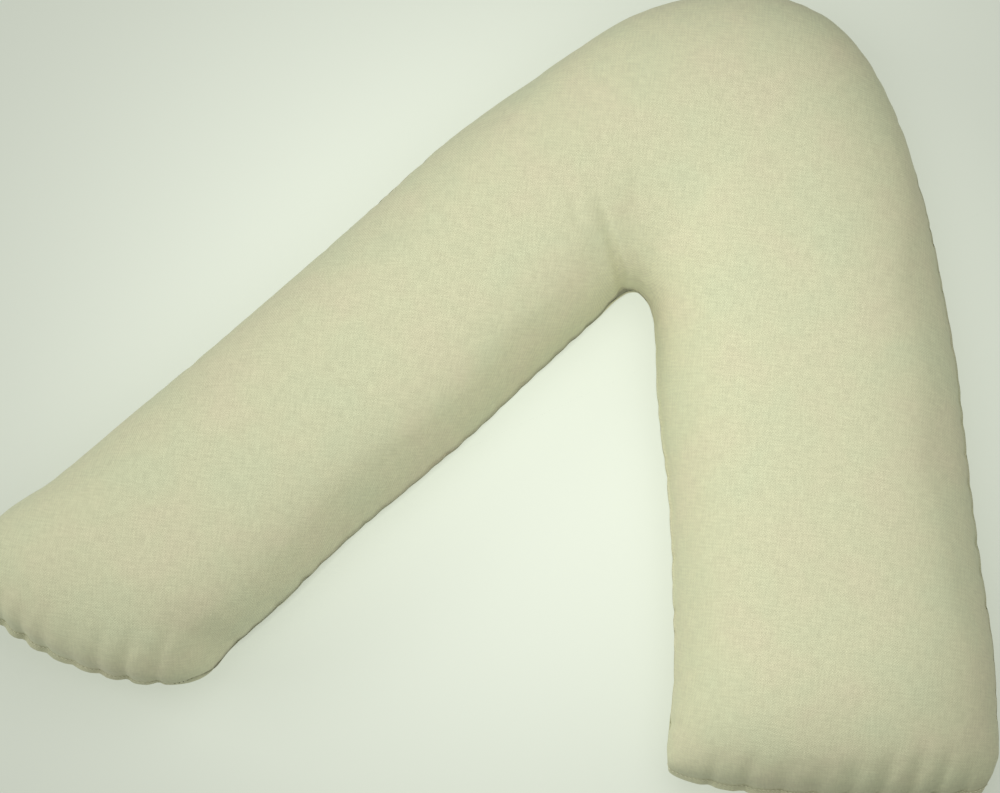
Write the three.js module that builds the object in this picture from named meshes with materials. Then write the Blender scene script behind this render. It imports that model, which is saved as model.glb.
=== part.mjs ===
import * as THREE from 'three';

// A V shaped pillow lying on its back, in millimetres. +Z is up, +Y runs from the opening between
// the arms to the bend, and +X to the wider arm. Two V cut cotton panels are sewn together all
// round and filled, and the open end of each arm is drawn together by a gathered closing seam.
// The filled cloth is one solid, swept through the sections below.

const END_LENGTH = 118;         // over which an arm rounds down from full thickness to its closing seam
const END_BLUNTNESS = 2.3;      // 2 rounds the end as an ellipse does, more makes it blunter
const SECTION_ROUNDNESS = 2.4;  // the same for the cross section above the seam
const UNDERSIDE_ROUNDNESS = 2.35;
const FLATTENING = 1.11;        // how far the underside would bulge below the surface it lies on
const BOW_ROUNDNESS = 2.0;      // how evenly a section bows towards its arm's end
const SEAM_THICKNESS = 4;       // the two panels pressed together in a seam
const LIP_LENGTH = 5;           // how far a closing seam's pressed edge stands out of the filled end

const TOP_STEPS = 40;           // faces across the upper panel
const UNDERSIDE_STEPS = 20;     // faces across the lower panel

// Sections across the pillow, from the narrow arm's end round the bend to the wide arm's end.
// outer, inner: where the perimeter seam runs on the outside and the inside of the V
// bow: how far the middle of the section reaches towards the end of its arm
// seam, crown: height of the perimeter seam and of the upper panel over the surface
// steps: rings of faces from this section to the next
const SECTIONS = [
	{ outer: [ - 486, - 474 ], inner: [ - 264, - 482 ], bow: 37, seam: 60, crown: 168, steps: 6 },
	{ outer: [ - 499, - 447 ], inner: [ - 246, - 472 ], bow: 36, seam: 63, crown: 168, steps: 4 },
	{ outer: [ - 485, - 407 ], inner: [ - 236, - 449 ], bow: 29, seam: 66, crown: 168, steps: 4 },
	{ outer: [ - 449, - 352 ], inner: [ - 222, - 424 ], bow: 20, seam: 71, crown: 168, steps: 4 },
	{ outer: [ - 405, - 274 ], inner: [ - 204, - 391 ], bow: 9, seam: 75, crown: 168, steps: 3 },
	{ outer: [ - 365, - 203 ], inner: [ - 167, - 315 ], bow: 0, seam: 77, crown: 168, steps: 3 },
	{ outer: [ - 296, - 74 ], inner: [ - 95, - 187 ], bow: 0, seam: 77, crown: 166, steps: 3 },
	{ outer: [ - 258, 0 ], inner: [ - 59, - 113 ], bow: 0, seam: 76, crown: 165, steps: 3 },
	{ outer: [ - 219, 77 ], inner: [ - 21, - 37 ], bow: 0, seam: 75, crown: 164, steps: 3 },
	{ outer: [ - 178, 141 ], inner: [ - 13, - 18 ], bow: 0, seam: 74, crown: 163, steps: 4 },
	{ outer: [ - 138, 196 ], inner: [ - 7, - 5 ], bow: 0, seam: 73, crown: 162, steps: 3 },
	{ outer: [ - 85, 259 ], inner: [ - 2, 1 ], bow: 0, seam: 73, crown: 162, steps: 2 },
	{ outer: [ - 30, 298 ], inner: [ 3, 3 ], bow: 0, seam: 72, crown: 162, steps: 2 },
	{ outer: [ 25, 320 ], inner: [ 7, 4 ], bow: 0, seam: 72, crown: 162, steps: 2 },
	{ outer: [ 86, 320 ], inner: [ 12, 3 ], bow: 0, seam: 71, crown: 161, steps: 2 },
	{ outer: [ 137, 295 ], inner: [ 17, 0 ], bow: 0, seam: 71, crown: 160, steps: 3 },
	{ outer: [ 202, 232 ], inner: [ 24, - 6 ], bow: 0, seam: 70, crown: 157, steps: 2 },
	{ outer: [ 245, 172 ], inner: [ 30, - 15 ], bow: 0, seam: 69, crown: 154, steps: 2 },
	{ outer: [ 284, 104 ], inner: [ 38, - 32 ], bow: 0, seam: 68, crown: 151, steps: 2 },
	{ outer: [ 320, 38 ], inner: [ 61, - 91 ], bow: 0, seam: 67, crown: 149, steps: 3 },
	{ outer: [ 360, - 49 ], inner: [ 103, - 178 ], bow: 0, seam: 66, crown: 147, steps: 3 },
	{ outer: [ 401, - 135 ], inner: [ 138, - 265 ], bow: 0, seam: 65, crown: 146, steps: 3 },
	{ outer: [ 434, - 200 ], inner: [ 163, - 332 ], bow: 4, seam: 62, crown: 146, steps: 4 },
	{ outer: [ 459, - 262 ], inner: [ 174, - 375 ], bow: 9, seam: 58, crown: 146, steps: 4 },
	{ outer: [ 472, - 300 ], inner: [ 180, - 397 ], bow: 14, seam: 55, crown: 146, steps: 6 },
	{ outer: [ 469, - 331 ], inner: [ 187, - 412 ], bow: 21, seam: 52, crown: 146, steps: 0 },
];

// Folds in the upper panel, each a soft trough that is deepest at its start and runs out at its end.
// start, end: its course seen from above; depth: at its start; spread: from its middle to its side
const CROTCH_FOLDS = [
	{ start: [ - 5, - 3 ], end: [ - 62, 64 ], depth: 6, spread: 8 },
	{ start: [ - 64, 30 ], end: [ - 90, 72 ], depth: 2, spread: 8 },
];

// Gathers along the closing seams, drawn in where the thread pulls the cloth together.
// across: place along the seam, from -1 at the inside of the V to 1 at the outside
// depth: at the seam; length: how far the gather runs up the arm
const NARROW_END_GATHERS = [
	{ across: 0.86, depth: 5, length: 46 },
	{ across: 0.62, depth: 6, length: 58 },
	{ across: 0.41, depth: 7, length: 50 },
	{ across: 0.19, depth: 5, length: 62 },
	{ across: - 0.06, depth: 4, length: 44 },
	{ across: - 0.3, depth: 5, length: 56 },
	{ across: - 0.53, depth: 7, length: 60 },
	{ across: - 0.78, depth: 7, length: 66 },
];
const WIDE_END_GATHERS = [
	{ across: - 0.72, depth: 4, length: 40 },
	{ across: - 0.5, depth: 5, length: 48 },
	{ across: - 0.27, depth: 4, length: 40 },
	{ across: - 0.06, depth: 5, length: 46 },
	{ across: 0.15, depth: 6, length: 54 },
	{ across: 0.34, depth: 7, length: 60 },
	{ across: 0.52, depth: 7, length: 66 },
	{ across: 0.69, depth: 7, length: 62 },
	{ across: 0.86, depth: 6, length: 50 },
];
const GATHER_SPREAD = 8;
const UNDERSIDE_FOLD_SHARE = 0.6;  // how deep a fold is in the lower panel, against the upper
const SEAM_PULL = 0.45;            // how far a gather draws the closing seam in, against its depth
const SEAM_RUFFLE = 0.4;           // how far the closing seam dips at a gather, against its depth

const LAST_ROW = SECTIONS.length - 1;
const CENTRELINE_STEPS = 400;

/** A smooth curve through one value of three numbers for each section. */
function curveThrough( valuesOf ) {

	return new THREE.CatmullRomCurve3( SECTIONS.map( ( section ) => new THREE.Vector3( ...valuesOf( section ) ) ) );

}

const outerSeam = curveThrough( ( section ) => [ ...section.outer, section.seam ] );
const innerSeam = curveThrough( ( section ) => [ ...section.inner, section.seam ] );
const bowAndCrown = curveThrough( ( section ) => [ section.bow, section.crown, 0 ] );

/** Middle of the section at a fractional row number, on the level of the seam. */
function middleAt( row ) {

	const along = row / LAST_ROW;
	return outerSeam.getPoint( along ).lerp( innerSeam.getPoint( along ), 0.5 );

}

/** Length of the line through the sections' middles, up to evenly spaced row numbers. */
function measureCentreline() {

	const lengths = [ 0 ];
	for ( let step = 1; step <= CENTRELINE_STEPS; step ++ ) {

		const here = middleAt( LAST_ROW * step / CENTRELINE_STEPS );
		const before = middleAt( LAST_ROW * ( step - 1 ) / CENTRELINE_STEPS );
		lengths.push( lengths[ step - 1 ] + here.distanceTo( before ) );

	}

	return lengths;

}

const centreline = measureCentreline();
const fullLength = centreline[ CENTRELINE_STEPS ];

/** Distance along the centreline from the narrow arm's closing seam to a row number. */
function distanceAt( row ) {

	const place = CENTRELINE_STEPS * row / LAST_ROW;
	const below = Math.min( Math.floor( place ), CENTRELINE_STEPS - 1 );
	return THREE.MathUtils.lerp( centreline[ below ], centreline[ below + 1 ], place - below );

}

/** Height of a rounded profile, from 0 at its rim to 1 at its middle. */
function rounded( fromMiddle, roundness ) {

	return Math.pow( Math.max( 0, 1 - Math.pow( Math.abs( fromMiddle ), roundness ) ), 1 / roundness );

}

/** Row numbers at which the rings of faces stand, closer together next to the closing seams. */
function ringRows() {

	const rows = [];
	SECTIONS.forEach( ( section, number ) => {

		for ( let step = 0; step < section.steps; step ++ ) {

			const even = step / section.steps;
			if ( number === 0 ) rows.push( even * even );
			else if ( number === LAST_ROW - 1 ) rows.push( number + 1 - ( 1 - even ) * ( 1 - even ) );
			else rows.push( number + even );

		}

	} );
	rows.push( LAST_ROW );
	return rows;

}

/** What the sweep needs to know at one row: its seam points, bow, direction, fullness and heights. */
function sectionAt( row ) {

	const along = row / LAST_ROW;
	const outer = outerSeam.getPoint( along );
	const inner = innerSeam.getPoint( along );
	const { x: bow, y: crown } = bowAndCrown.getPoint( along );
	const distance = distanceAt( row );
	const toEnd = Math.min( distance, fullLength - distance );
	const filledPart = THREE.MathUtils.clamp( ( toEnd - LIP_LENGTH ) / END_LENGTH, 0, 1 );
	const fullness = rounded( 1 - filledPart, END_BLUNTNESS );
	const nudge = 0.01;
	const ahead = middleAt( Math.min( row + nudge, LAST_ROW ) ).sub( middleAt( Math.max( row - nudge, 0 ) ) );
	ahead.setZ( 0 ).normalize();
	const towardsEnd = distance < fullLength / 2 ? ahead.negate() : ahead;
	return { outer, inner, bow, crown, fullness, towardsEnd };

}

/** Place on the level of the seam: across runs from 1 at the outer seam to -1 at the inner. */
function seamLevelPoint( section, across ) {

	const point = section.inner.clone().lerp( section.outer, ( across + 1 ) / 2 );
	const reach = section.bow * rounded( across, BOW_ROUNDNESS );
	return point.addScaledVector( section.towardsEnd, reach );

}

/** The gathers of one closing seam as folds, each with a start on the seam and an end up the arm. */
function foldsFromGathers( gathers, row ) {

	const section = sectionAt( row );
	return gathers.map( ( { across, depth, length } ) => {

		const start = seamLevelPoint( section, across );
		const end = start.clone().addScaledVector( section.towardsEnd, - length );
		return { start: [ start.x, start.y ], end: [ end.x, end.y ], depth, spread: GATHER_SPREAD };

	} );

}

/** How deep a fold is at a point seen from above. */
function foldDepth( fold, point ) {

	const start = new THREE.Vector2( ...fold.start );
	const course = new THREE.Vector2( ...fold.end ).sub( start );
	const offset = new THREE.Vector2( point.x, point.y ).sub( start );
	const length = course.length();
	const along = offset.dot( course ) / length;
	const aside = offset.cross( course ) / length / fold.spread;
	const before = Math.min( along, 0 ) / fold.spread;
	const fade = THREE.MathUtils.smoothstep( 1 - Math.max( along, 0 ) / length, 0, 1 );
	return fold.depth * fade * Math.exp( - aside * aside - before * before );

}

/** The depths of all folds of a list at a point, added up. */
function totalDepth( folds, point ) {

	return folds.reduce( ( sum, fold ) => sum + foldDepth( fold, point ), 0 );

}

/** One ring of points around the pillow: over the upper panel, then back under the lower one. */
function ringPoints( row, gatherFolds ) {

	const section = sectionAt( row );
	const halfSeam = SEAM_THICKNESS / 2;
	const ring = [];

	function addPoint( angle, isTop ) {

		const roundness = isTop ? SECTION_ROUNDNESS : UNDERSIDE_ROUNDNESS;
		const across = Math.sign( Math.cos( angle ) ) * Math.pow( Math.abs( Math.cos( angle ) ), 2 / roundness );
		const bulge = rounded( across, roundness ) * section.fullness;
		const point = seamLevelPoint( section, across );
		const seamHeight = point.z;
		const gatherDepth = totalDepth( gatherFolds, point );
		const pull = SEAM_PULL * gatherDepth * ( 1 - section.fullness );
		if ( isTop ) {

			const depth = gatherDepth + totalDepth( CROTCH_FOLDS, point );
			const rise = ( section.crown - seamHeight - depth ) * bulge;
			point.z = seamHeight + Math.max( rise, halfSeam );

		} else {

			const drop = ( FLATTENING * seamHeight - UNDERSIDE_FOLD_SHARE * gatherDepth ) * bulge;
			point.z = Math.max( seamHeight - Math.max( drop, halfSeam ), 0 );

		}

		point.z -= SEAM_RUFFLE * gatherDepth * Math.pow( 1 - section.fullness, 2 );
		point.addScaledVector( section.towardsEnd, - pull );
		ring.push( point );

	}

	for ( let step = 0; step <= TOP_STEPS; step ++ ) addPoint( Math.PI * step / TOP_STEPS, true );
	for ( let step = 0; step <= UNDERSIDE_STEPS; step ++ ) {

		addPoint( Math.PI * ( 1 - step / UNDERSIDE_STEPS ), false );

	}

	return ring;

}

/** The pillow's skin as one closed surface, the rings joined side by side and closed at both seams. */
function pillowGeometry() {

	const narrowEndFolds = foldsFromGathers( NARROW_END_GATHERS, 0 );
	const wideEndFolds = foldsFromGathers( WIDE_END_GATHERS, LAST_ROW );
	const folds = [ ...narrowEndFolds, ...wideEndFolds ];
	const rings = ringRows().map( ( row ) => ringPoints( row, folds ) );
	const ringSize = rings[ 0 ].length;
	const faces = [];

	for ( let ring = 0; ring < rings.length - 1; ring ++ ) {

		for ( let point = 0; point < ringSize; point ++ ) {

			const next = ( point + 1 ) % ringSize;
			const [ a, b ] = [ ring * ringSize + point, ring * ringSize + next ];
			const [ c, d ] = [ a + ringSize, b + ringSize ];
			faces.push( a, b, c, b, d, c );

		}

	}

	const topPerUnderside = TOP_STEPS / UNDERSIDE_STEPS;
	function closeSeam( firstPoint, facesBack ) {

		for ( let step = 0; step < UNDERSIDE_STEPS; step ++ ) {

			const lower = firstPoint + ringSize - 1 - step;
			const upper = firstPoint + step * topPerUnderside;
			const strip = [ lower, upper, upper + 1, lower, upper + 1, lower - 1, lower - 1, upper + 1, upper + 2 ];
			if ( facesBack ) strip.reverse();
			faces.push( ...strip );

		}

	}

	closeSeam( 0, true );
	closeSeam( ( rings.length - 1 ) * ringSize, false );

	const geometry = new THREE.BufferGeometry().setFromPoints( rings.flat() );
	geometry.setIndex( faces );
	geometry.computeVertexNormals();
	return geometry;

}

/** Moves a geometry so that the middle of its box's bottom is at the origin. */
function standOnOrigin( geometry ) {

	geometry.computeBoundingBox();
	const middle = geometry.boundingBox.getCenter( new THREE.Vector3() );
	return geometry.translate( - middle.x, - middle.y, - geometry.boundingBox.min.z );

}

const cotton = new THREE.MeshStandardMaterial( { color: '#d5d5b1', roughness: 0.92, metalness: 0 } );

const pillow = new THREE.Mesh( standOnOrigin( pillowGeometry() ), cotton );
pillow.name = 'pillow';

const vPillow = new THREE.Group();
vPillow.add( pillow );

export default vPillow;
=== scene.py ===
"""A V shaped pillow in plain woven cotton, lying on its back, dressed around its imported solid."""

import math

import bpy
import numpy as np
from mathutils import Matrix, Vector

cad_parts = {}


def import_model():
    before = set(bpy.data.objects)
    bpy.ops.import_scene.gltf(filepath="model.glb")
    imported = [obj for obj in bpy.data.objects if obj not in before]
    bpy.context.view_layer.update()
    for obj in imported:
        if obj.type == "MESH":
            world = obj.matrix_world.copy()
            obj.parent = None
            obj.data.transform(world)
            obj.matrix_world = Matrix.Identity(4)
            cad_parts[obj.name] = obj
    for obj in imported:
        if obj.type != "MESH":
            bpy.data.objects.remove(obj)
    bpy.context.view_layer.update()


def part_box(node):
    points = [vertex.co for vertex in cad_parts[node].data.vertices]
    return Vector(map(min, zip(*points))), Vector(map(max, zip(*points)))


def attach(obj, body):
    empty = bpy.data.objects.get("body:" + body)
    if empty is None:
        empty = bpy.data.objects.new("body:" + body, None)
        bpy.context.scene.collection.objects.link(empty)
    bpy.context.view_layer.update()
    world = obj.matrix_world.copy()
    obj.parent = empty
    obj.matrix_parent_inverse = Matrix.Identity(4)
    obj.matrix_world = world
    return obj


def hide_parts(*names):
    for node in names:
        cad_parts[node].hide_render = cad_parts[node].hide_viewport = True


MM = 0.001

# The camera: how far it leans from straight above, which way it leans, and how it is turned.
IMAGE_WIDTH_PX = 1000
FOCAL_LENGTH_PX = 3000
SENSOR_WIDTH_MM = 36
CAMERA_LEAN = math.radians(12)
CAMERA_LEAN_TOWARDS = math.radians(95)
CAMERA_TURN = math.radians(-20)
CAMERA_DISTANCE = 2.85
CAMERA_TARGET = (-0.067, -0.0417, 0.078)

# The light and the floor.
OVERHEAD_PLACE = (0.1, 0.02, 1.0)
OVERHEAD_AIM = (0.1, 0.02, 0)
OVERHEAD_SIZE = 0.8
OVERHEAD_POWER = 5.0
SIDE_PLACE = (-3.3, -1.0, 2.2)
SIDE_AIM = (0, 0, 0)
SIDE_SIZE = 2.2
SIDE_POWER = 55
SKY_COLOUR = "#f4f6ef"
SKY_STRENGTH = 0.38
FLOOR_SIZE = 60
FLOOR_COLOUR = "#9a9e95"
# The floor's glow is painted light, a pool brightest in the middle; the floor shade is painted
# shadow in that glow where the pillow hangs close.
FLOOR_GLOW_COLOUR = "#f2f9e9"
FLOOR_GLOW_MIDDLE = 0.68
FLOOR_GLOW_RIM = 0.355
FLOOR_GLOW_CENTRE = (-0.05, 0.0, 0)
FLOOR_GLOW_REACH = 0.75
FLOOR_SHADE_REACH = 0.022
FLOOR_SHADE_STRENGTH = 1.2

# The cloth and its thread: colours, and sizes in millimetres.
COTTON_COLOUR = "#d8d8b4"
COTTON_WARM_COLOUR = "#dad6b4"
COTTON_COOL_COLOUR = "#d5d8b4"
THREAD_COLOUR = "#dddcc0"
THREAD_PITCH = 1.3
WEAVE_TURN = math.radians(-12)
SLUB_LENGTH = 14
MOTTLE_SIZE = 70
CRUMPLE_SIZE = 24
STITCH_SPACING = 4.2
STITCH_LENGTH = 3.2
STITCH_THICKNESS = 0.9
STITCH_PROUD_SHARE = 0.35
STITCH_FROM_EDGE = 4.2

# The pillow's form, in millimetres, as its solid has it.
END_LENGTH = 118
END_BLUNTNESS = 2.3
SECTION_ROUNDNESS = 2.4
UNDERSIDE_ROUNDNESS = 2.35
FLATTENING = 1.11
BOW_ROUNDNESS = 2.0
SEAM_THICKNESS = 4
LIP_LENGTH = 5

# Sections across the pillow, from the narrow arm's end round the bend to the wide arm's end:
# outer and inner seam points, bow of the middle towards the arm's end, seam height, crown height.
SECTIONS = (
    ((-486, -474), (-264, -482), 37, 60, 168),
    ((-499, -447), (-246, -472), 36, 63, 168),
    ((-485, -407), (-236, -449), 29, 66, 168),
    ((-449, -352), (-222, -424), 20, 71, 168),
    ((-405, -274), (-204, -391), 9, 75, 168),
    ((-365, -203), (-167, -315), 0, 77, 168),
    ((-296, -74), (-95, -187), 0, 77, 166),
    ((-258, 0), (-59, -113), 0, 76, 165),
    ((-219, 77), (-21, -37), 0, 75, 164),
    ((-178, 141), (-13, -18), 0, 74, 163),
    ((-138, 196), (-7, -5), 0, 73, 162),
    ((-85, 259), (-2, 1), 0, 73, 162),
    ((-30, 298), (3, 3), 0, 72, 162),
    ((25, 320), (7, 4), 0, 72, 162),
    ((86, 320), (12, 3), 0, 71, 161),
    ((137, 295), (17, 0), 0, 71, 160),
    ((202, 232), (24, -6), 0, 70, 157),
    ((245, 172), (30, -15), 0, 69, 154),
    ((284, 104), (38, -32), 0, 68, 151),
    ((320, 38), (61, -91), 0, 67, 149),
    ((360, -49), (103, -178), 0, 66, 147),
    ((401, -135), (138, -265), 0, 65, 146),
    ((434, -200), (163, -332), 4, 62, 146),
    ((459, -262), (174, -375), 9, 58, 146),
    ((472, -300), (180, -397), 14, 55, 146),
    ((469, -331), (187, -412), 21, 52, 146),
)
LAST_ROW = len(SECTIONS) - 1

# Folds by the crotch: start and end seen from above, depth at the start, spread to each side,
# first towards the narrow arm and then towards the wide one.
CROTCH_FOLDS = (
    ((-3, -3), (-70, 74), 5.2, (7, 3.5)),
    ((-64, 30), (-90, 72), 1.2, (6, 6)),
)

# Gathers of the closing seams: place along the seam, depth, and length up the arm.
NARROW_END_GATHERS = (
    (0.86, 5, 46), (0.62, 6, 58), (0.41, 7, 50), (0.19, 5, 62),
    (-0.06, 4, 44), (-0.3, 5, 56), (-0.53, 7, 60), (-0.78, 7, 66),
)
WIDE_END_GATHERS = (
    (-0.72, 4, 40), (-0.5, 5, 48), (-0.27, 4, 40), (-0.06, 5, 46), (0.15, 6, 54),
    (0.34, 7, 60), (0.52, 7, 66), (0.69, 7, 62), (0.86, 6, 50),
)
GATHER_SPREAD = 5.4
GATHER_DEEPENING = 1.25
UNDERSIDE_FOLD_SHARE = 0.6
SEAM_PULL = 0.42
SEAM_RUFFLE = 0.34

# Painted shade by the seams, darkening the cloth's colour: its depth and reach, and the share of it
# that each seam holds. The inner seam's share is given by row: strong along the narrow arm's inner
# seam up to the crotch, none along the wide arm's.
SEAM_SHADE = 0.6
SEAM_SHADE_REACH = 7.0
OUTER_SEAM_SHARE = 0.22
CLOSING_SEAM_SHARE = 0.26
INNER_SEAM_SHARES = (
    (0, 0.9), (2, 0.8), (4, 0.6), (7, 0.65), (8, 0.9),
    (9.5, 1.0), (11.6, 1.0), (12.5, 0.2), (13, 0), (25, 0),
)

# How far the closing seams' pressed edges hang down.
LIP_DROOP = 4.5

# The mesh of the two panels, in millimetres. The cloth is simulated on every second line of it.
CLOTH_STEP = 8.0
OUTER_STEP_SHARE = 0.7
FINE_STATIONS = 4001
CENTRELINE_STATIONS = 401
END_ROWS = 1.02
END_STEPS = 10
END_CROWDING = 1.7
PANEL_STEPS = 46
SEAM_ROWS = (0.12, 0.4)
SEAM_SINK = 2.2

# The cloth simulation, and how far its small creases are evened out.
CLOTH_FRAMES = 20
CLOTH_QUALITY = 5
CLOTH_PRESSURE = 4.0
CLOTH_SPARE_LENGTH = 0.015
CLOTH_BENDING = 2.0
CLOTH_CAP = 4 * MM
EVENING_ROUNDS = 30
CREASE_SHARE = 0.15

# Puckers along the long seams, in millimetres: how far apart, how deep, how wide, how long.
PUCKER_SEED = 11
PUCKER_GAPS = (13, 34)
PUCKER_DEPTHS = (0.8, 2.5)
PUCKER_WIDTHS = (3.5, 7.0)
PUCKER_LENGTHS = (12, 34)
PUCKER_START = 3.0


def srgb(hex_colour):
    """The linear colour of an sRGB hex value, with full alpha."""
    channels = [int(hex_colour[i:i + 2], 16) / 255 for i in (1, 3, 5)]
    linear = [c / 12.92 if c <= 0.04045 else ((c + 0.055) / 1.055) ** 2.4 for c in channels]
    return (*linear, 1.0)


def add_camera():
    """Sets the camera above the pillow at the photo's angle."""
    lean, towards = CAMERA_LEAN, CAMERA_LEAN_TOWARDS
    tilt_axis = Vector((-math.sin(towards), math.cos(towards), 0))
    object_to_view = Matrix.Rotation(lean, 3, tilt_axis) @ Matrix.Rotation(CAMERA_TURN, 3, "Z")
    view_to_object = object_to_view.transposed()
    back = view_to_object.col[2]
    camera_data = bpy.data.cameras.new("camera")
    camera_data.sensor_width = SENSOR_WIDTH_MM
    camera_data.lens = SENSOR_WIDTH_MM * FOCAL_LENGTH_PX / IMAGE_WIDTH_PX
    camera_data.clip_end = 50
    camera = bpy.data.objects.new("camera", camera_data)
    place = Matrix.Translation(Vector(CAMERA_TARGET) + CAMERA_DISTANCE * back)
    camera.matrix_world = place @ view_to_object.to_4x4()
    bpy.context.scene.collection.objects.link(camera)
    bpy.context.scene.camera = camera


def curve_through(points, rows):
    """Centripetal curve through a row of points, read at fractional row numbers."""
    points = np.asarray(points, dtype=float)
    padded = np.vstack([2 * points[0] - points[1], points, 2 * points[-1] - points[-2]])
    start = np.clip(np.floor(rows).astype(int), 0, len(points) - 2)
    t = (rows - start)[:, None]
    p0, p1, p2, p3 = (padded[start + k] for k in range(4))

    def knot_gap(a, b):
        return np.maximum(np.sqrt(np.linalg.norm(b - a, axis=1)), 1e-4)[:, None]

    d0, d1, d2 = knot_gap(p0, p1), knot_gap(p1, p2), knot_gap(p2, p3)
    slope_1 = ((p1 - p0) / d0 - (p2 - p0) / (d0 + d1) + (p2 - p1) / d1) * d1
    slope_2 = ((p2 - p1) / d1 - (p3 - p1) / (d1 + d2) + (p3 - p2) / d2) * d1
    cubic = 2 * (p1 - p2) + slope_1 + slope_2
    square = 3 * (p2 - p1) - 2 * slope_1 - slope_2
    return p1 + t * (slope_1 + t * (square + t * cubic))


def rounded(from_middle, roundness):
    """Height of a rounded profile, from 0 at its rim to 1 at its middle."""
    inside = 1 - np.abs(from_middle) ** roundness
    return np.maximum(inside, 0) ** (1 / roundness)


def seam_curves(rows):
    """Outer seam, inner seam and (bow, crown) at fractional row numbers."""
    outer = curve_through([(*s[0], s[3]) for s in SECTIONS], rows)
    inner = curve_through([(*s[1], s[3]) for s in SECTIONS], rows)
    bow_and_crown = curve_through([(s[2], s[4], 0) for s in SECTIONS], rows)
    return outer, inner, bow_and_crown


def length_along(points):
    """Running length of a line through points."""
    steps = np.linalg.norm(np.diff(points, axis=0), axis=1)
    return np.concatenate([[0], np.cumsum(steps)])


class Sweep:
    """The pillow's sections at a list of fractional row numbers."""

    def __init__(self, rows):
        self.rows = rows
        self.outer, self.inner, bow_and_crown = seam_curves(rows)
        self.bow, self.crown = bow_and_crown[:, 0], bow_and_crown[:, 1]
        fine_rows = np.linspace(0, LAST_ROW, CENTRELINE_STATIONS)
        fine_outer, fine_inner, _ = seam_curves(fine_rows)
        middles = (fine_outer + fine_inner) / 2
        distances = length_along(middles)
        distance = np.interp(rows, fine_rows, distances)
        self.to_end = np.minimum(distance, distances[-1] - distance)
        filled = np.clip((self.to_end - LIP_LENGTH) / END_LENGTH, 0, 1)
        self.fullness = rounded(1 - filled, END_BLUNTNESS)
        ahead = np.gradient(middles[:, :2], axis=0)
        ahead /= np.linalg.norm(ahead, axis=1)[:, None]
        heading = np.stack([np.interp(rows, fine_rows, ahead[:, k]) for k in range(2)], axis=1)
        heading /= np.linalg.norm(heading, axis=1)[:, None]
        self.towards_end = np.where((distance < distances[-1] / 2)[:, None], -heading, heading)

    def seam_level(self, across):
        """Plan places at the seam's height, one for each row and each place across."""
        share = ((across + 1) / 2)[None, :, None]
        places = self.inner[:, None] + (self.outer - self.inner)[:, None] * share
        reach = self.bow[:, None] * rounded(across, BOW_ROUNDNESS)[None, :]
        places[..., :2] += self.towards_end[:, None] * reach[..., None]
        return places


def gather_folds(gathers, row):
    """The gathers of one closing seam as folds that run up the arm."""
    sweep = Sweep(np.array([float(row)]))
    folds = []
    for across, depth, length in gathers:
        start = sweep.seam_level(np.array([across]))[0, 0, :2]
        end = start - sweep.towards_end[0] * length
        folds.append((start, end, GATHER_DEEPENING * depth, (GATHER_SPREAD, GATHER_SPREAD)))
    return folds


def fold_depth(folds, places):
    """How deep all folds of a list are at places seen from above, added up."""
    depth = np.zeros(places.shape[:-1])
    for start, end, deepest, spreads in folds:
        start = np.asarray(start, dtype=float)
        course = np.asarray(end, dtype=float) - start
        length = np.linalg.norm(course)
        offset = places[..., :2] - start
        along = offset @ course / length
        aside = (offset[..., 0] * course[1] - offset[..., 1] * course[0]) / length
        aside = aside / np.where(aside < 0, *spreads)
        before = np.minimum(along, 0) / min(spreads)
        run_out = np.clip(1 - np.maximum(along, 0) / length, 0, 1)
        fade = run_out * run_out * (3 - 2 * run_out)
        depth += deepest * fade * np.exp(-aside ** 2 - before ** 2)
    return depth


def with_midpoints(values):
    """A row of values with the middle of each pair set between them."""
    doubled = np.empty(2 * len(values) - 1)
    doubled[::2] = values
    doubled[1::2] = (values[1:] + values[:-1]) / 2
    return doubled


def station_rows():
    """Fractional row numbers, half a cloth step apart and closer by the closing seams."""
    fine = np.linspace(0, LAST_ROW, FINE_STATIONS)
    outer, inner, _ = seam_curves(fine)
    reach = OUTER_STEP_SHARE * length_along(outer) + (1 - OUTER_STEP_SHARE) * length_along(inner)
    even = np.interp(np.linspace(0, reach[-1], int(reach[-1] / CLOTH_STEP)), reach, fine)
    middle = even[(even > END_ROWS) & (even < LAST_ROW - END_ROWS)]
    towards_seam = np.linspace(0, 1, END_STEPS + 1) ** END_CROWDING
    return with_midpoints(np.concatenate([towards_seam, middle, LAST_ROW - towards_seam[::-1]]))


def panel_angles():
    """Angles over one panel from the outer seam to the inner, closer together by the seams."""
    even = np.arange(1, PANEL_STEPS) / PANEL_STEPS
    near = np.array(SEAM_ROWS) / PANEL_STEPS
    return math.pi * with_midpoints(np.concatenate([[0], near, even, 1 - near[::-1], [1]]))


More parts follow.
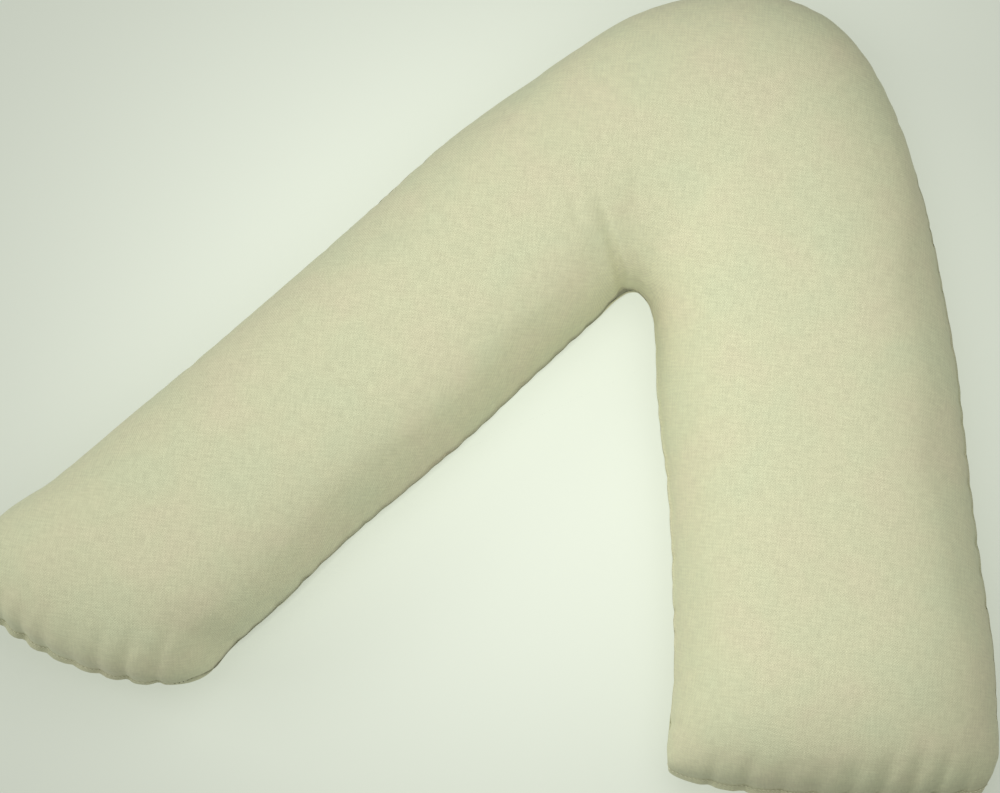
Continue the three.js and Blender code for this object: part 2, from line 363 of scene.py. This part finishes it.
def panel_places(sweep, folds, is_top):
    """Places of one panel's cloth, a grid of stations by places across, in millimetres."""
    roundness = SECTION_ROUNDNESS if is_top else UNDERSIDE_ROUNDNESS
    angles = panel_angles()
    across = np.sign(np.cos(angles)) * np.abs(np.cos(angles)) ** (2 / roundness)
    across[0], across[-1] = 1, -1
    places = sweep.seam_level(across)
    fullness = sweep.fullness[:, None]
    bulge = rounded(across, roundness)[None, :] * fullness
    seam_height = places[..., 2].copy()
    gathers = fold_depth(folds, places)
    half_seam = np.full(places.shape[:2], SEAM_THICKNESS / 2)
    half_seam[:, [0, -1]] = 0
    half_seam[[0, -1], :] = 0
    if is_top:
        rise = (sweep.crown[:, None] - seam_height - gathers) * bulge
        places[..., 2] = seam_height + np.maximum(rise, half_seam)
    else:
        drop = (FLATTENING * seam_height - UNDERSIDE_FOLD_SHARE * gathers) * bulge
        places[..., 2] = np.maximum(seam_height - np.maximum(drop, half_seam), 0)
    places[..., 2] -= SEAM_RUFFLE * gathers * (1 - fullness) ** 2
    pull = SEAM_PULL * gathers * (1 - fullness)
    places[..., :2] -= sweep.towards_end[:, None] * pull[..., None]
    inward = (sweep.inner - sweep.outer)[:, :2]
    inward /= np.linalg.norm(inward, axis=1)[:, None]
    sink = (SEAM_SINK * np.clip(sweep.to_end / LIP_LENGTH - 1, 0, 1))[:, None]
    places[:, 0, :2] += inward * sink
    places[:, -1, :2] -= inward * sink
    places[..., 2] -= LIP_DROOP * np.clip(1 - sweep.to_end / LIP_LENGTH, 0, 1)[:, None]
    return places


def panel_indices(stations, across):
    """Point numbers of the upper and the lower panel, which share the points of their seams."""
    upper_index = np.arange(stations * across).reshape(stations, across)
    lower_index = upper_index.copy()
    own_points = (stations - 2) * (across - 2)
    lower_index[1:-1, 1:-1] = upper_index.size + np.arange(own_points).reshape(stations - 2, -1)
    return upper_index, lower_index


def quads(index):
    """The four corners of each face of a grid of point numbers."""
    corners = (index[:-1, :-1], index[1:, :-1], index[1:, 1:], index[:-1, 1:])
    return np.stack(corners, axis=-1).reshape(-1, 4)


def cloth_object(name, upper, lower):
    """One closed mesh of the two panels."""
    upper_index, lower_index = panel_indices(*upper.shape[:2])
    points = np.concatenate([upper.reshape(-1, 3), lower[1:-1, 1:-1].reshape(-1, 3)])
    faces = np.concatenate([quads(upper_index)[:, ::-1], quads(lower_index)])
    mesh = bpy.data.meshes.new(name)
    mesh.from_pydata(points.tolist(), [], faces.tolist())
    mesh.shade_smooth()
    piece = bpy.data.objects.new(name, mesh)
    bpy.context.scene.collection.objects.link(piece)
    return piece


def unrolled(panel, sweep):
    """The panel's places laid out flat, as they were when the cloth was cut, in metres."""
    crown_line = panel[:, panel.shape[1] // 2]
    steps = np.diff(crown_line, axis=0)
    plan_steps = np.linalg.norm(steps[:, :2], axis=1)[:, None]
    flat_steps = steps[:, :2] / plan_steps * np.linalg.norm(steps, axis=1)[:, None]
    middle = np.concatenate([crown_line[:1, :2], crown_line[0, :2] + np.cumsum(flat_steps, axis=0)])
    reach = np.zeros(panel.shape[:2])
    reach[:, 1:] = np.cumsum(np.linalg.norm(np.diff(panel, axis=1), axis=2), axis=1)
    reach -= reach[:, panel.shape[1] // 2, None]
    across = (sweep.inner - sweep.outer)[:, :2]
    across /= np.linalg.norm(across, axis=1)[:, None]
    return middle[:, None] + across[:, None] * reach[..., None]


def lay_out_cloth(mesh, upper_flat, lower_flat):
    """Stores the flat places of both panels as the mesh's UV map, in metres."""
    corners = quads(np.arange(upper_flat[..., 0].size).reshape(upper_flat.shape[:2]))
    upper_places = upper_flat.reshape(-1, 2)[corners[:, ::-1]]
    lower_places = lower_flat.reshape(-1, 2)[corners]
    layer = mesh.uv_layers.new(name="flat_cloth")
    layer.data.foreach_set("uv", np.concatenate([upper_places, lower_places]).ravel())


def sewn_panels():
    """The two panels in the form of the solid, in metres, their sweep and the crotch's folds."""
    sweep = Sweep(station_rows())
    folds = gather_folds(NARROW_END_GATHERS, 0) + gather_folds(WIDE_END_GATHERS, LAST_ROW)
    upper = panel_places(sweep, folds, True) * MM
    lower = panel_places(sweep, folds, False) * MM
    creases = fold_depth(CROTCH_FOLDS, upper / MM)
    both = np.concatenate([upper, lower]).reshape(-1, 3)
    low, high = (np.array(corner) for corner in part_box("pillow"))
    shift = (low + high) / 2 - (both.min(axis=0) + both.max(axis=0)) / 2
    shift[2] = 0
    return upper + shift, lower + shift, sweep, creases


def paint_seam_shade(mesh, upper, lower, sweep):
    """Stores how much painted shade by the seams each point holds, from 0 to 1."""
    from_closing = np.maximum(sweep.to_end - LIP_LENGTH, 0)[:, None]
    inner_share = np.interp(sweep.rows, *zip(*INNER_SEAM_SHARES))[:, None]
    shades = []
    for panel in (upper, lower):
        from_outer, from_inner = from_seams(panel)
        shade = np.zeros(from_outer.shape)
        for share, distance in ((OUTER_SEAM_SHARE, from_outer), (inner_share, from_inner),
                                (CLOSING_SEAM_SHARE, from_closing)):
            shade = np.maximum(shade, share * np.exp(-(distance / SEAM_SHADE_REACH) ** 2))
        shades.append(shade)
    values = np.concatenate([shades[0].ravel(), shades[1][1:-1, 1:-1].ravel()])
    mesh.attributes.new("painted_shade_by_seams", "FLOAT", "POINT").data.foreach_set("value", values)


def read_places(mesh):
    """The points of a mesh as an array."""
    places = np.empty(len(mesh.vertices) * 3)
    mesh.vertices.foreach_get("co", places)
    return places.reshape(-1, 3)


def blown_up(upper, lower, lip_stations):
    """How far air pressure moves each point of the cloth between its seams, as two grids."""
    piece = cloth_object("cloth_under_air", upper, lower)
    upper_index, lower_index = panel_indices(*upper.shape[:2])
    held = np.concatenate([upper_index[:, 0], upper_index[:, -1], upper_index[lip_stations].ravel(),
                           lower_index[lip_stations].ravel()])
    seams = piece.vertex_groups.new(name="seams")
    seams.add(np.unique(held).tolist(), 1.0, "REPLACE")
    cloth = piece.modifiers.new("inflate", "CLOTH")
    settings = cloth.settings
    settings.quality = CLOTH_QUALITY
    settings.use_pressure = True
    settings.uniform_pressure_force = CLOTH_PRESSURE
    settings.shrink_min = -CLOTH_SPARE_LENGTH
    settings.bending_stiffness = CLOTH_BENDING
    settings.vertex_group_mass = seams.name
    settings.effector_weights.gravity = 0
    cloth.collision_settings.use_collision = False
    start = read_places(piece.data)
    scene = bpy.context.scene
    for frame_number in range(1, CLOTH_FRAMES + 1):
        scene.frame_set(frame_number)
    graph = bpy.context.evaluated_depsgraph_get()
    moved = read_places(piece.evaluated_get(graph).data) - start
    scene.frame_set(1)
    bpy.data.objects.remove(piece)
    return moved[upper_index], moved[lower_index]


def evened(moved, rounds):
    """A grid of movements with its small creases evened out, and none at the seams."""
    calm = moved.copy()
    for _ in range(rounds):
        around = calm[:-2, 1:-1] + calm[2:, 1:-1] + calm[1:-1, :-2] + calm[1:-1, 2:]
        calm[1:-1, 1:-1] = (calm[1:-1, 1:-1] + around / 4) / 2
    return calm


def on_all_lines(moved):
    """Movements known on every second line of a grid, filled in between."""
    for axis in (0, 1):
        lines = np.moveaxis(moved, axis, 0)
        filled = np.empty((2 * lines.shape[0] - 1, *lines.shape[1:]))
        filled[::2] = lines
        filled[1::2] = (lines[1:] + lines[:-1]) / 2
        moved = np.moveaxis(filled, 0, axis)
    return moved


def inflated(upper, lower, sweep):
    """Both panels swollen by air pressure, each point moved no further than the cap."""
    lip_stations = np.where(sweep.to_end[::2] < LIP_LENGTH + 1)[0]
    movements = blown_up(upper[::2, ::2], lower[::2, ::2], lip_stations)
    swollen = []
    for panel, moved in zip((upper, lower), movements):
        calm = evened(moved, EVENING_ROUNDS)
        shift = on_all_lines(calm + CREASE_SHARE * (moved - calm))
        length = np.linalg.norm(shift, axis=2, keepdims=True)
        swollen.append(panel + shift * np.minimum(1, CLOTH_CAP / np.maximum(length, 1e-9)))
    return swollen


def outward(panel, is_top):
    """Unit directions that point out of a panel's cloth."""
    along, across = np.gradient(panel, axis=0), np.gradient(panel, axis=1)
    normal = np.cross(across, along) if is_top else np.cross(along, across)
    return normal / np.maximum(np.linalg.norm(normal, axis=2, keepdims=True), 1e-12)


def from_seams(panel):
    """Distance over the cloth from the outer and from the inner seam, in millimetres."""
    steps = np.linalg.norm(np.diff(panel, axis=1), axis=2) / MM
    from_outer = np.concatenate([np.zeros((len(panel), 1)), np.cumsum(steps, axis=1)], axis=1)
    return from_outer, from_outer[:, -1:] - from_outer


def pucker_depth(seam_line, reach, chance):
    """Depth in millimetres of the puckers along one seam, at a distance from it in millimetres."""
    place = length_along(seam_line) / MM
    count = int(place[-1] / PUCKER_GAPS[0])
    centres = np.cumsum(chance.uniform(*PUCKER_GAPS, count))
    depths = chance.uniform(*PUCKER_DEPTHS, count)
    widths = chance.uniform(*PUCKER_WIDTHS, count)
    lengths = chance.uniform(*PUCKER_LENGTHS, count)
    depth = np.zeros(reach.shape)
    for centre, deepest, width, length in zip(centres, depths, widths, lengths):
        beside = np.exp(-((place - centre) / width) ** 2)[:, None]
        depth += deepest * beside * np.exp(-(reach / length) ** 2)
    return depth * (1 - np.exp(-reach / PUCKER_START))


def puckered(panel, sweep, creases, is_top):
    """A panel with its creases and the small puckers that its long seams draw into the cloth."""
    chance = np.random.RandomState(PUCKER_SEED)
    from_outer, from_inner = from_seams(panel)
    depth = creases * (1 - np.exp(-from_inner / PUCKER_START))
    depth += pucker_depth(panel[:, 0], from_outer, chance)
    depth += pucker_depth(panel[:, -1], from_inner, chance)
    depth *= sweep.fullness[:, None] * MM
    return panel - outward(panel, is_top) * depth[..., None]


def add_node(tree, kind, settings=None, inputs=None):
    """Adds a node with its settings, and sets or links its inputs, known by name or by number."""
    node = tree.nodes.new(kind)
    for name, value in (settings or {}).items():
        setattr(node, name, value)
    for key, value in (inputs or {}).items():
        if isinstance(value, bpy.types.NodeSocket):
            tree.links.new(value, node.inputs[key])
        else:
            node.inputs[key].default_value = value
    return node


def new_material(name):
    """A material with its node tree and its shader."""
    material = bpy.data.materials.new(name)
    material.use_nodes = True
    return material, material.node_tree, material.node_tree.nodes["Principled BSDF"]


def woven_cotton():
    """Plain woven cotton: matt, softly mottled, with fine uneven threads that catch the light, and
    with painted shade by the seams.
    """
    material, tree, shader = new_material("woven_cotton")
    flat = add_node(tree, "ShaderNodeUVMap", {"uv_map": "flat_cloth"})
    threads = add_node(tree, "ShaderNodeMapping", None,
                       {"Vector": flat.outputs["UV"], "Rotation": (0, 0, WEAVE_TURN)})
    place = add_node(tree, "ShaderNodeTexCoord")

    # The real threads lie about 0.4 mm apart. They are drawn three times as coarse, to show.
    wave_scale = math.pi / 10 / (2 * THREAD_PITCH * MM)
    warp, weft = (
        add_node(tree, "ShaderNodeTexWave", {"bands_direction": direction},
                 {"Vector": threads.outputs["Vector"], "Scale": wave_scale,
                  "Distortion": 0.6, "Detail": 0.0, "Detail Scale": 0.35})
        for direction in ("X", "Y"))
    crossing = add_node(tree, "ShaderNodeMath", {"operation": "SUBTRACT"},
                        {0: warp.outputs["Fac"], 1: weft.outputs["Fac"]})
    over_under = add_node(tree, "ShaderNodeMath", {"operation": "ABSOLUTE"},
                          {0: crossing.outputs[0]})

    # Slubs: thicker stretches of thread, long along the thread and as wide as one or two.
    slubs = []
    slub_width = 1.5 * THREAD_PITCH
    for width, length in ((slub_width, SLUB_LENGTH), (SLUB_LENGTH, slub_width)):
        stretched = add_node(tree, "ShaderNodeVectorMath", {"operation": "MULTIPLY"},
                             {0: threads.outputs["Vector"],
                              1: (1 / (width * MM), 1 / (length * MM), 1 / MM)})
        slubs.append(add_node(tree, "ShaderNodeTexNoise", None,
                              {"Vector": stretched.outputs["Vector"], "Scale": 1.0, "Detail": 1.0}))
    grain = add_node(tree, "ShaderNodeMath", {"operation": "ADD"},
                     {0: slubs[0].outputs["Fac"], 1: slubs[1].outputs["Fac"]})

    # Uneven shade over the cloth, a little warmer here and greener there.
    mottle = add_node(tree, "ShaderNodeTexNoise", None,
                      {"Vector": place.outputs["Object"], "Scale": 1 / (MOTTLE_SIZE * MM),
                       "Detail": 3.0, "Roughness": 0.55})
    shade = add_node(tree, "ShaderNodeValToRGB", None, {"Fac": mottle.outputs["Fac"]})
    ramp = shade.color_ramp.elements
    ramp[0].position, ramp[0].color = 0.32, srgb(COTTON_COOL_COLOUR)
    ramp[1].position, ramp[1].color = 0.7, srgb(COTTON_WARM_COLOUR)
    ramp.new(0.5).color = srgb(COTTON_COLOUR)
    grain_shade = add_node(tree, "ShaderNodeMapRange", None,
                           {"Value": grain.outputs[0], "From Min": 0.7, "From Max": 1.3,
                            "To Min": 0.93, "To Max": 1.06})
    weave_shade = add_node(tree, "ShaderNodeMapRange", None,
                           {"Value": over_under.outputs[0], "To Min": 0.91, "To Max": 1.04})
    both_shades = add_node(tree, "ShaderNodeMath", {"operation": "MULTIPLY"},
                           {0: grain_shade.outputs[0], 1: weave_shade.outputs[0]})
    # Painted shade: the cloth's colour is darkened by the seams, by the amount stored in the mesh.
    painted_shade_by_seams = add_node(tree, "ShaderNodeAttribute", {"attribute_name": "painted_shade_by_seams"})
    painted_seam_darkening = add_node(tree, "ShaderNodeMapRange", None,
                          {"Value": painted_shade_by_seams.outputs["Fac"],
                           "To Min": 1.0, "To Max": 1 - SEAM_SHADE})
    all_shades = add_node(tree, "ShaderNodeMath", {"operation": "MULTIPLY"},
                          {0: both_shades.outputs[0], 1: painted_seam_darkening.outputs[0]})
    tinted = add_node(tree, "ShaderNodeVectorMath", {"operation": "SCALE"},
                      {"Vector": shade.outputs["Color"], "Scale": all_shades.outputs[0]})
    tree.links.new(tinted.outputs["Vector"], shader.inputs["Base Color"])

    # Relief: the threads, their slubs, and the soft crumple of cloth that has been washed.
    crumple = add_node(tree, "ShaderNodeTexNoise", None,
                       {"Vector": place.outputs["Object"], "Scale": 1 / (CRUMPLE_SIZE * MM),
                        "Detail": 2.0})
    crumpled = add_node(tree, "ShaderNodeBump", None,
                        {"Height": crumple.outputs["Fac"], "Strength": 0.5, "Distance": 0.9 * MM})
    slubbed = add_node(tree, "ShaderNodeBump", None,
                       {"Height": grain.outputs[0], "Strength": 0.5, "Distance": 0.25 * MM,
                        "Normal": crumpled.outputs["Normal"]})
    woven = add_node(tree, "ShaderNodeBump", None,
                     {"Height": over_under.outputs[0], "Strength": 0.6, "Distance": 0.2 * MM,
                      "Normal": slubbed.outputs["Normal"]})
    tree.links.new(woven.outputs["Normal"], shader.inputs["Normal"])
    shader.inputs["Roughness"].default_value = 0.9
    shader.inputs["Specular IOR Level"].default_value = 0.3
    shader.inputs["Sheen Weight"].default_value = 0.15
    shader.inputs["Sheen Roughness"].default_value = 0.6
    return material


def spun_thread():
    """Spun cotton sewing thread: matt, with a fine twist."""
    material, tree, shader = new_material("spun_cotton_thread")
    place = add_node(tree, "ShaderNodeTexCoord")
    twist = add_node(tree, "ShaderNodeTexWave", {"bands_direction": "DIAGONAL"},
                     {"Vector": place.outputs["Object"], "Scale": math.pi / 10 / (0.4 * MM)})
    relief = add_node(tree, "ShaderNodeBump", None,
                      {"Height": twist.outputs["Fac"], "Strength": 0.4, "Distance": 0.1 * MM})
    tree.links.new(relief.outputs["Normal"], shader.inputs["Normal"])
    shader.inputs["Base Color"].default_value = srgb(THREAD_COLOUR)
    shader.inputs["Roughness"].default_value = 0.85
    return material


def stitch_tree(thread):
    """Geometry nodes that lay stitches along a line, with their spacing, length and thickness."""
    tree = bpy.data.node_groups.new("row_of_stitches", "GeometryNodeTree")
    tree.interface.new_socket("Line", in_out="INPUT", socket_type="NodeSocketGeometry")
    for name in ("Spacing", "Length", "Thickness"):
        tree.interface.new_socket(name, in_out="INPUT", socket_type="NodeSocketFloat")
    tree.interface.new_socket("Seed", in_out="INPUT", socket_type="NodeSocketInt")
    tree.interface.new_socket("Stitches", in_out="OUTPUT", socket_type="NodeSocketGeometry")
    given = add_node(tree, "NodeGroupInput").outputs
    line = add_node(tree, "GeometryNodeMeshToCurve", None, {"Mesh": given["Line"]})
    marks = add_node(tree, "GeometryNodeResampleCurve", {"mode": "LENGTH"},
                     {"Curve": line.outputs["Curve"], "Length": given["Spacing"]})
    tangent = add_node(tree, "GeometryNodeInputTangent")
    turn = add_node(tree, "FunctionNodeAlignRotationToVector", {"axis": "X"},
                    {"Vector": tangent.outputs["Tangent"]})
    uneven = add_node(tree, "FunctionNodeRandomValue", None,
                      {"Min": 0.88, "Max": 1.06, "Seed": given["Seed"]})
    length = add_node(tree, "ShaderNodeMath", {"operation": "MULTIPLY"},
                      {0: given["Length"], 1: uneven.outputs["Value"]})
    size = add_node(tree, "ShaderNodeCombineXYZ", None,
                    {"X": length.outputs[0], "Y": given["Thickness"], "Z": given["Thickness"]})
    stitch = add_node(tree, "GeometryNodeMeshUVSphere", None,
                      {"Segments": 8, "Rings": 6, "Radius": 0.5})
    placed = add_node(tree, "GeometryNodeInstanceOnPoints", None,
                      {"Points": marks.outputs["Curve"], "Instance": stitch.outputs["Mesh"],
                       "Rotation": turn.outputs["Rotation"], "Scale": size.outputs["Vector"]})
    real = add_node(tree, "GeometryNodeRealizeInstances", None,
                    {"Geometry": placed.outputs["Instances"]})
    smooth = add_node(tree, "GeometryNodeSetShadeSmooth", None,
                      {"Geometry": real.outputs["Geometry"]})
    finished = add_node(tree, "GeometryNodeSetMaterial", None,
                        {"Geometry": smooth.outputs["Geometry"], "Material": thread})
    add_node(tree, "NodeGroupOutput", None, {"Stitches": finished.outputs["Geometry"]})
    return tree


def stitch_lines(panel, sweep, is_top):
    """The two closing seams as lines on one panel, just clear of the cloth."""
    lines = []
    proud = panel + outward(panel, is_top) * STITCH_PROUD_SHARE * STITCH_THICKNESS * MM
    half = len(sweep.to_end) // 2
    for stations in (slice(0, half), slice(None, half, -1)):
        reach, side = sweep.to_end[stations], proud[stations, 2:-2]
        places = [[np.interp(STITCH_FROM_EDGE, reach, column[:, axis]) for axis in range(3)]
                  for column in np.moveaxis(side, 1, 0)]
        lines.append(np.array(places))
    return lines


def closing_stitches(lines):
    """The stitches that close both arm ends, through both panels."""
    points = np.concatenate(lines)
    ends = np.cumsum([len(line) for line in lines])
    edges = [(k, k + 1) for k in range(len(points) - 1) if k + 1 not in ends]
    path = bpy.data.meshes.new("stitch_path")
    path.from_pydata(points.tolist(), edges, [])
    guide = bpy.data.objects.new("stitch_path", path)
    bpy.context.scene.collection.objects.link(guide)
    modifier = guide.modifiers.new("stitches", "NODES")
    modifier.node_group = stitch_tree(spun_thread())
    sizes = {"Spacing": STITCH_SPACING * MM, "Length": STITCH_LENGTH * MM,
             "Thickness": STITCH_THICKNESS * MM, "Seed": 3}
    for socket in modifier.node_group.interface.items_tree:
        if socket.name in sizes:
            modifier[socket.identifier] = sizes[socket.name]
    graph = bpy.context.evaluated_depsgraph_get()
    mesh = bpy.data.meshes.new_from_object(guide.evaluated_get(graph))
    bpy.data.objects.remove(guide)
    stitches = bpy.data.objects.new("closing_stitches", mesh)
    bpy.context.scene.collection.objects.link(stitches)
    return stitches


def add_floor():
    """A plain pale floor with painted light: it glows, brightest in a pool in its middle and less
    towards its rim.
    """
    half = FLOOR_SIZE / 2
    corners = [(-half, -half, 0), (half, -half, 0), (half, half, 0), (-half, half, 0)]
    mesh = bpy.data.meshes.new("floor")
    mesh.from_pydata(corners, [], [(0, 1, 2, 3)])
    floor = bpy.data.objects.new("floor", mesh)
    bpy.context.scene.collection.objects.link(floor)
    material, tree, shader = new_material("floor_painted_glow")
    shader.inputs["Base Color"].default_value = srgb(FLOOR_COLOUR)
    shader.inputs["Roughness"].default_value = 0.9
    shader.inputs["Specular IOR Level"].default_value = 0.1
    shader.inputs["Emission Color"].default_value = srgb(FLOOR_GLOW_COLOUR)
    place = add_node(tree, "ShaderNodeTexCoord")
    spot = add_node(tree, "ShaderNodeMapping", {"vector_type": "TEXTURE"},
                    {"Vector": place.outputs["Object"], "Location": FLOOR_GLOW_CENTRE,
                     "Scale": (FLOOR_GLOW_REACH,) * 3})
    fall_off = add_node(tree, "ShaderNodeTexGradient", {"gradient_type": "SPHERICAL"},
                        {"Vector": spot.outputs["Vector"]})
    glow = add_node(tree, "ShaderNodeMapRange", {"interpolation_type": "SMOOTHSTEP"},
                    {"Value": fall_off.outputs["Fac"], "To Min": FLOOR_GLOW_RIM,
                     "To Max": FLOOR_GLOW_MIDDLE})

    # Painted shadow: the glow fades where the pillow hangs close over the floor, as light does in a
    # narrow gap.
    openness = add_node(tree, "ShaderNodeAmbientOcclusion", {"samples": 8},
                        {"Distance": FLOOR_SHADE_REACH})
    open_share = add_node(tree, "ShaderNodeMath", {"operation": "POWER"},
                          {0: openness.outputs["AO"], 1: FLOOR_SHADE_STRENGTH})
    open_glow = add_node(tree, "ShaderNodeMath", {"operation": "MULTIPLY"},
                         {0: glow.outputs["Result"], 1: open_share.outputs[0]})
    tree.links.new(open_glow.outputs[0], shader.inputs["Emission Strength"])
    mesh.materials.append(material)


def add_softbox(name, place, aim, size, power):
    """A white square soft light that shines from a place towards a point."""
    light = bpy.data.lights.new(name, "AREA")
    light.shape = "SQUARE"
    light.size = size
    light.energy = power
    lamp = bpy.data.objects.new(name, light)
    turn = (Vector(aim) - Vector(place)).to_track_quat("-Z", "Y")
    lamp.matrix_world = Matrix.Translation(Vector(place)) @ turn.to_matrix().to_4x4()
    lamp.visible_camera = False
    bpy.context.scene.collection.objects.link(lamp)


def add_light():
    """Soft light from above and from the photo's upper left, and an even pale sky."""
    add_softbox("overhead_softbox", OVERHEAD_PLACE, OVERHEAD_AIM, OVERHEAD_SIZE, OVERHEAD_POWER)
    add_softbox("side_softbox", SIDE_PLACE, SIDE_AIM, SIDE_SIZE, SIDE_POWER)
    world = bpy.data.worlds.new("studio")
    world.use_nodes = True
    background = world.node_tree.nodes["Background"]
    background.inputs["Color"].default_value = srgb(SKY_COLOUR)
    background.inputs["Strength"].default_value = SKY_STRENGTH
    bpy.context.scene.world = world


def main():
    """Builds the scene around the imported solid."""
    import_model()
    add_camera()
    bpy.context.scene.view_settings.view_transform = "Standard"
    upper, lower, sweep, creases = sewn_panels()
    flat_cloth = unrolled(upper, sweep), unrolled(lower, sweep)
    upper, lower = inflated(upper, lower, sweep)
    upper = puckered(upper, sweep, creases, True)
    lower = puckered(lower, sweep, 0, False)
    lower[..., 2] = np.maximum(lower[..., 2], 0)
    pillow = cloth_object("pillow_cloth", upper, lower)
    lay_out_cloth(pillow.data, *flat_cloth)
    paint_seam_shade(pillow.data, upper, lower, sweep)
    pillow.data.materials.append(woven_cotton())
    seam_lines = stitch_lines(upper, sweep, True) + stitch_lines(lower, sweep, False)
    stitches = closing_stitches(seam_lines)
    add_floor()
    add_light()
    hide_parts("pillow")
    for piece in (pillow, stitches):
        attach(piece, "root")


main()
